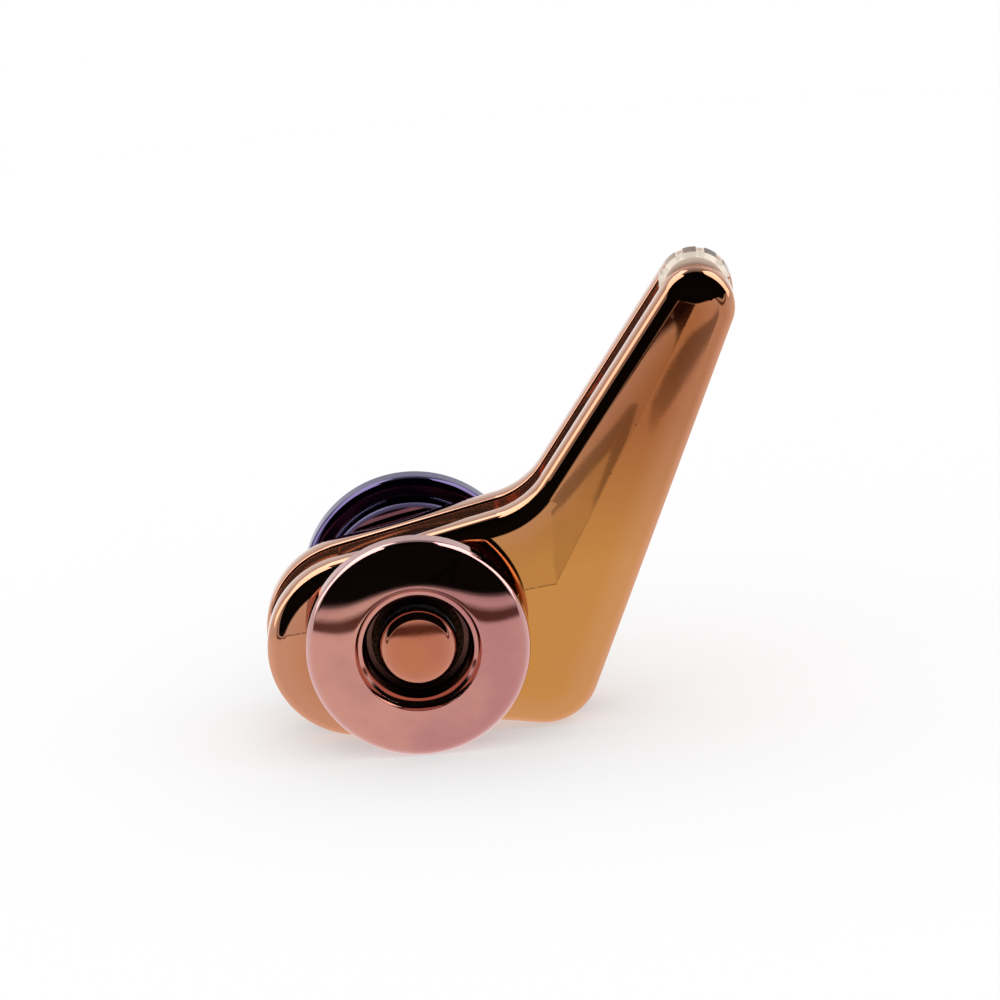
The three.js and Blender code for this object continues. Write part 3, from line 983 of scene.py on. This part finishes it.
def makeWheel():
    solid = Solid()
    places, outwards = wheelOutline()
    half = wheel["half"]
    radius = wheel["radius"]
    drop = wheel["chamferDrop"]
    wide = wheel["chamferWide"]
    lean = math.degrees(math.atan2(wide, drop))
    soft = wheel["chamferEdge"]
    profile = [
        (radius - drop - soft, half, 90),
        (radius - drop, half - soft / 4, lean),
        (radius - soft / 2, half - wide + soft / 2, lean),
        (radius, half - wide - soft / 2, 0),
    ]
    rings = [wheelRing(solid, places, outwards, r, -y, angle) for r, y, angle in profile]
    rings += [wheelRing(solid, places, outwards, r, y, angle) for r, y, angle in reversed(profile)]
    for lower, upper in zip(rings, rings[1:]):
        solid.wall(lower, upper)
    boreRings = holeWall(solid, 0, 0, [(wheel["bore"], -half), (wheel["bore"], half)])
    none = np.zeros((0, 2))
    solid.fill(rings[0], [boreRings[0]], none, None, None)
    solid.fill(rings[-1], [boreRings[-1]], none, None, None)
    # the sides and chamfers are satin, and their pale edge colour is a painted sheen
    pale = [float(abs(y) > half - wide or math.hypot(x, z) < radius - soft) for x, y, z in solid.points]
    looks = {"satin": pale, "rim": pale}
    makePiece("tip_wheel_fine", "tip_wheel", solid.points, solid.faces, solid.normals, looks, tipCentre)


makeWheel()
print("Roller made")


# Spacers, washers, bushes, pins and screws
def makeSleeve(name, node, inner, outer, start, end, corner, place=(0, 0), side=1, sides=96):
    corners = [(inner, start, corner), (outer, start, corner), (outer, end, corner), (inner, end, corner)]
    turnedPiece(name, node, corners, sides, True, place, side)


small = {
    "gap": 1.7,
    "centreSpacer": (3.03, 4.2),
    "gapSpacer": (0.83, 2.1),
    "thrustWasher": (3.03, 5.0, 6.3, 6.7),
    "bush": {"inner": 3.05, "outer": 3.55, "start": 6.8, "floor": 8.8, "flange": 4.6, "top": 9.2},
    "tipPin": (1.0, 4.5, 0.1),
    "tipBush": (1.05, 1.55, 1.3),
    "tipWasher": (1.03, 2.2, 1.4, 1.7),
    "corner": 0.06,
}
edge = small["corner"]
makeSleeve("centre_spacer_fine", "centre_spacer", *small["centreSpacer"], -small["gap"], small["gap"], edge)
for place, point in screwPlaces().items():
    makeSleeve(f"{place}_spacer_fine", f"{place}_spacer", *small["gapSpacer"], -small["gap"], small["gap"],
               edge, tuple(point))
for end, side in (("front", -1), ("rear", 1)):
    makeSleeve(f"{end}_thrust_washer_fine", f"{end}_thrust_washer", *small["thrustWasher"], edge, (0, 0),
               side)
    makeSleeve(f"{end}_tip_washer_fine", f"{end}_tip_washer", *small["tipWasher"], edge, tipCentre, side)
    bush = small["bush"]
    bushCorners = [
        (bush["inner"], bush["start"], edge),
        (bush["outer"], bush["start"], edge),
        (bush["outer"], bush["floor"], edge),
        (bush["flange"], bush["floor"], edge),
        (bush["flange"], bush["top"], edge),
        (bush["inner"], bush["top"], edge),
    ]
    turnedPiece(f"{end}_bush_fine", f"{end}_bush", bushCorners, 96, True, (0, 0), side)
radius, end, corner = small["tipPin"]
pinCorners = [(0, -end, 0), (radius, -end, corner), (radius, end, corner), (0, end, 0)]
turnedPiece("tip_pin_fine", "tip_pin", pinCorners, 48, False, tipCentre)
inner, outer, half = small["tipBush"]
makeSleeve("tip_bush_fine", "tip_bush", inner, outer, -half, half, edge, tipCentre)


def makeScrew(name, node, place):
    face = shell["face"]
    cone = face - screws["headHeight"]
    end = -shell["gapHalf"] - screws["frontDepth"]
    floor = face - screws["socketDepth"]
    corners = [
        (0, end, 0),
        (screws["shank"], end, 0.1),
        (screws["shank"], cone, 0.1),
        (screws["head"], face - screws["rimHeight"], 0.03),
        (screws["head"], face, 0.03),
        (screws["socket"], face, 0.03),
        (screws["socket"], floor, 0.03),
        (0, floor - 0.2, 0),
    ]
    profile = rounded(corners, False)
    points, faces, normals = revolved(profile, 72, False)
    points = np.array(points)
    flat = np.hypot(points[:, 0], points[:, 2])
    angle = np.arctan2(points[:, 2], points[:, 0])
    within = (points[:, 1] > floor - 0.1) & (flat < screws["socket"] + 0.08) & (flat > 0.1)
    sixth = np.mod(angle, math.pi / 3) - math.pi / 6
    hexagon = math.cos(math.pi / 6) / np.cos(sixth)
    points[within, 0] *= hexagon[within]
    points[within, 2] *= hexagon[within]
    makePiece(name, node, points, faces, normals, None, place)


for place, point in screwPlaces().items():
    makeScrew(f"{place}_screw_fine", f"{place}_screw", tuple(point))
print("Fasteners and sleeves made")


# Button springs
spring = {
    "radius": 1.29,
    "wire": 0.18,
    "turns": 3.5,
    "from": 3.2,
    "to": 6.4,
    "steps": 168,
    "sides": 16,
    "travel": 0.6,
    "seatGap": 0.1,
}


def makeSpring(name, node, side):
    seat = spring["wire"] + spring["seatGap"]
    points = []
    normals = []
    faces = []
    start = spring["from"] + seat
    rise = spring["to"] - spring["from"] - 2 * seat
    for k in range(spring["steps"] + 1):
        share = k / spring["steps"]
        angle = share * spring["turns"] * 2 * math.pi
        outward = Vector((math.cos(angle), 0, math.sin(angle)))
        centre = outward * spring["radius"] + Vector((0, start + rise * share, 0))
        for i in range(spring["sides"]):
            turn = 2 * math.pi * i / spring["sides"]
            n = outward * math.cos(turn) + Vector((0, math.sin(turn), 0))
            points.append(tuple(centre + n * spring["wire"]))
            normals.append(tuple(n))
    count = spring["sides"]
    for k in range(spring["steps"]):
        for i in range(count):
            a = k * count + i
            b = k * count + (i + 1) % count
            faces.append((a, b, b + count, a + count))
    faces.append(tuple(range(count)))
    faces.append(tuple(range(spring["steps"] * count, (spring["steps"] + 1) * count)))
    piece = makePiece(name, node, points, faces, normals, None, (0, 0), side)
    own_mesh(piece)


makeSpring("front_button_spring_fine", "front_button_spring", -1)
makeSpring("rear_button_spring_fine", "rear_button_spring", 1)
print("Springs made")


# Studio: what the polished faces mirror, and a floor that only takes the shadow
pureWhite = (1, 1, 1, 1)
studio = {
    "openingRise": 48,  # middle of the dark opening above the camera
    "opening": [(0, 0.012), (56.9, 0.006), (57.5, 0.08), (58.5, 0.92), (60.2, 0.92),
                (60.7, (0.16, 0.1, 0.08)), (62.7, (0.18, 0.11, 0.09)), (63.3, 1.0), (180, 1.0)],
    "walls": [(-90, 1.1), (-14, 0.99), (-8, 0.96), (0, 0.84), (17, 0.7), (35, 0.45), (60, 0.3), (90, 0.2)],
    "plain": 0.92,
}


def bandRamp(tree, value, bands):
    lowest, highest = bands[0][0], bands[-1][0]
    node = addNode(tree, "ShaderNodeValToRGB", None, {"Fac": between(tree, value, 0, 1, lowest, highest)})
    ramp = node.color_ramp
    for i, (degrees, level) in enumerate(bands):
        at = (degrees - lowest) / (highest - lowest)
        stop = ramp.elements[i] if i < 2 else ramp.elements.new(at)
        stop.position = at
        stop.color = (*level, 1) if isinstance(level, tuple) else (level, level, level, 1)
    return node.outputs[0]


def makeWorld():
    world = bpy.data.worlds.new("studio")
    world.use_nodes = True
    scene.world = world
    tree = world.node_tree
    tree.nodes.clear()
    direction = addNode(tree, "ShaderNodeTexCoord").outputs["Generated"]
    rise = mathNode(tree, "DEGREES", mathNode(tree, "ARCSINE", riseOf(tree, direction)))
    middle = math.radians(studio["openingRise"])
    axis = (0, -math.cos(middle), math.sin(middle))
    along = addNode(tree, "ShaderNodeVectorMath", {"operation": "DOT_PRODUCT", 1: axis}, {0: direction})
    turn = mathNode(tree, "DEGREES", mathNode(tree, "ARCCOSINE", along.outputs["Value"]))
    opening = bandRamp(tree, turn, studio["opening"])
    tent = mixed(tree, 1.0, opening, bandRamp(tree, rise, studio["walls"]), "MULTIPLY")
    seen = addNode(tree, "ShaderNodeBackground", {"Strength": 1.0}, {"Color": tent})
    plain = addNode(tree, "ShaderNodeBackground", {"Color": pureWhite, "Strength": studio["plain"]})
    white = addNode(tree, "ShaderNodeBackground", {"Color": pureWhite, "Strength": 1.0})
    rays = addNode(tree, "ShaderNodeLightPath")
    mirror = addNode(tree, "ShaderNodeMixShader", None,
                     {0: rays.outputs["Is Glossy Ray"], 1: plain.outputs[0], 2: seen.outputs[0]})
    direct = mathNode(tree, "MAXIMUM", rays.outputs["Is Camera Ray"], rays.outputs["Is Transmission Ray"])
    final = addNode(tree, "ShaderNodeMixShader", None, {0: direct, 1: mirror.outputs[0], 2: white.outputs[0]})
    addNode(tree, "ShaderNodeOutputWorld", None, {"Surface": final.outputs[0]})


makeWorld()

# bright panels of the tent, each by its corners in degrees round from the camera's side and up
cards = {
    "left": {"corners": [(-80, 5), (-81, 40), (-86, 65), (-100, 72), (-130, 62), (-168, 50), (-168, 26),
                         (-146, 30), (-107, 30), (-105, 12)],
             "level": 2.4},
    "right": {"corners": [(70, 4), (74, 40), (82, 65), (100, 72), (150, 62), (150, 34), (107, 28), (105, 12)],
              "level": 2.4},
}
cardTint = (1, 0.96, 0.92, 1)
cardDistance = 0.8


def bareMaterial(name):
    material = bpy.data.materials.new(name)
    material.use_nodes = True
    material.node_tree.nodes.clear()
    return material, material.node_tree


def glowMaterial(name, level):
    material, tree = bareMaterial(name)
    glow = addNode(tree, "ShaderNodeEmission", {"Color": cardTint, "Strength": level})
    addNode(tree, "ShaderNodeOutputMaterial", None, {"Surface": glow.outputs[0]})
    return material


def stagePlane(name, points, faces, material):
    mesh = bpy.data.meshes.new(name)
    mesh.from_pydata(points, [], faces)
    mesh.materials.append(material)
    plane = bpy.data.objects.new(name, mesh)
    scene.collection.objects.link(plane)
    return plane


def onlyMirrored(plane):
    plane.visible_camera = False
    plane.visible_diffuse = False
    plane.visible_shadow = False


def makeCard(name, card):
    points = [Vector(view["target"]) * mm + towards(*corner) * cardDistance for corner in card["corners"]]
    face = tuple(range(len(points)))
    onlyMirrored(stagePlane(name, points, [face], glowMaterial(name, card["level"])))


for cardName, card in cards.items():
    makeCard(f"card_{cardName}", card)

# smoked films hung close in front, which the creased arm mirrors; places are from the axle, each row gives
# the film's two edges and how dense it is there
films = {
    "left_leg": {"soft": 0.2, "rows": [(12.5, 10.1, 13.2, 10.3, 0.5), (11.2, 8.6, 12.0, 8.0, 0.5),
                                       (9.4, 6.7, 10.5, 5.5, 0.5), (7.2, 4.5, 8.2, 3.3, 0.5),
                                       (4.1, 1.3, 5.2, 0.1, 0.5), (2.4, -0.4, 3.2, -1.7, 0.35),
                                       (1.4, -1.6, 2.3, -2.7, 0)]},
    "right_leg": {"soft": 0.2, "rows": [(13.0, 10.3, 13.6, 10.3, 0.5), (10.3, 5.5, 11.9, 5.5, 0.5),
                                        (8.0, 0.3, 9.1, 0.3, 0.45), (7.5, -1.4, 8.1, -1.4, 0)]},
    "wedge": {"soft": 0.7, "rows": [(8.0, 11.0, 9.6, 9.3, 0), (10.8, 15.8, 13.0, 13.6, 0.95),
                                    (14.3, 19.3, 16.7, 17.1, 0.97), (16.0, 21.3, 19.0, 18.9, 0.97),
                                    (18.0, 23.0, 20.8, 20.6, 0.97)]},
    "spur": {"soft": 0.3, "rows": [(17.4, 20.9, 20.8, 20.4, 0.95), (17.6, 19.0, 20.1, 18.9, 0.95),
                                   (17.9, 17.8, 19.4, 17.7, 0.85), (17.3, 15.0, 18.2, 15.0, 0)]},
    "board": {"soft": 0.5, "rows": [(33.9, 14.4, 34.8, 14.2, 0.4), (32.3, 12.3, 33.8, 12.2, 0.6),
                                    (29.9, 10.8, 32.9, 10.6, 0.62), (27.3, 7.2, 30.4, 7.0, 0.6),
                                    (25.5, 3.9, 28.1, 3.7, 0.45), (25.0, 1.9, 26.6, 1.8, 0.25),
                                    (24.8, -0.1, 25.6, -0.1, 0)]},
}
filmDistance = 66
filmDark = (0.05, 0.01, 0, 1)


def filmMaterial():
    material, tree = bareMaterial("smoked_film")
    tint = addNode(tree, "ShaderNodeMix", {"data_type": "RGBA"}, {"Factor": attribute(tree, "dense")})
    tint.inputs[6].default_value = pureWhite
    tint.inputs[7].default_value = filmDark
    film = addNode(tree, "ShaderNodeBsdfTransparent", None, {"Color": tint.outputs[2]})
    addNode(tree, "ShaderNodeOutputMaterial", None, {"Surface": film.outputs[0]})
    return material


def makeFilm(name, film, material):
    points = []
    dense = []
    for leftX, leftZ, rightX, rightZ, share in film["rows"]:
        left = Vector((leftX, leftZ))
        right = Vector((rightX, rightZ))
        inward = (right - left).normalized() * min(film["soft"], (right - left).length / 3)
        for spot, value in ((left, 0), (left + inward, share), (right - inward, share), (right, 0)):
            points.append(((axleX + spot.x) * mm, -filmDistance * mm, (axleZ + spot.y) * mm))
            dense.append(value)
    faces = [(4 * row + k, 4 * row + k + 1, 4 * row + k + 5, 4 * row + k + 4)
             for row in range(len(film["rows"]) - 1) for k in range(3)]
    plane = stagePlane(name, points, faces, material)
    plane.data.attributes.new("dense", "FLOAT", "POINT").data.foreach_set("value", dense)
    onlyMirrored(plane)


smokedFilm = filmMaterial()
for filmName, film in films.items():
    makeFilm(f"film_{filmName}", film, smokedFilm)

floor = {
    "radius": 0.4,
    "fadeFrom": 0.06,
    "fadeTo": 0.3,
    "matt": (0.7, 0.7, 0.7, 1),
    "own": 0.36,
    "sides": 96,
}


def makeFloor():
    ring = [(floor["radius"] * math.cos(a), floor["radius"] * math.sin(a), 0)
            for a in np.linspace(0, 2 * math.pi, floor["sides"], endpoint=False)]
    material, tree = bareMaterial("pale_floor")
    place = objectPlace(tree)
    fade = between(tree, lengthOf(tree, place), 0, 1, floor["fadeFrom"], floor["fadeTo"])
    matt = addNode(tree, "ShaderNodeBsdfDiffuse", {"Color": floor["matt"]})
    glow = addNode(tree, "ShaderNodeEmission", {"Color": pureWhite, "Strength": floor["own"]})
    both = addNode(tree, "ShaderNodeAddShader", None, {0: matt.outputs[0], 1: glow.outputs[0]})
    clear = addNode(tree, "ShaderNodeBsdfTransparent")
    surface = addNode(tree, "ShaderNodeMixShader", None, {0: fade, 1: both.outputs[0], 2: clear.outputs[0]})
    addNode(tree, "ShaderNodeOutputMaterial", None, {"Surface": surface.outputs[0]})
    plane = stagePlane("floor", ring, [tuple(range(len(ring)))], material)
    plane.visible_glossy = False


makeFloor()
print("Studio lit")
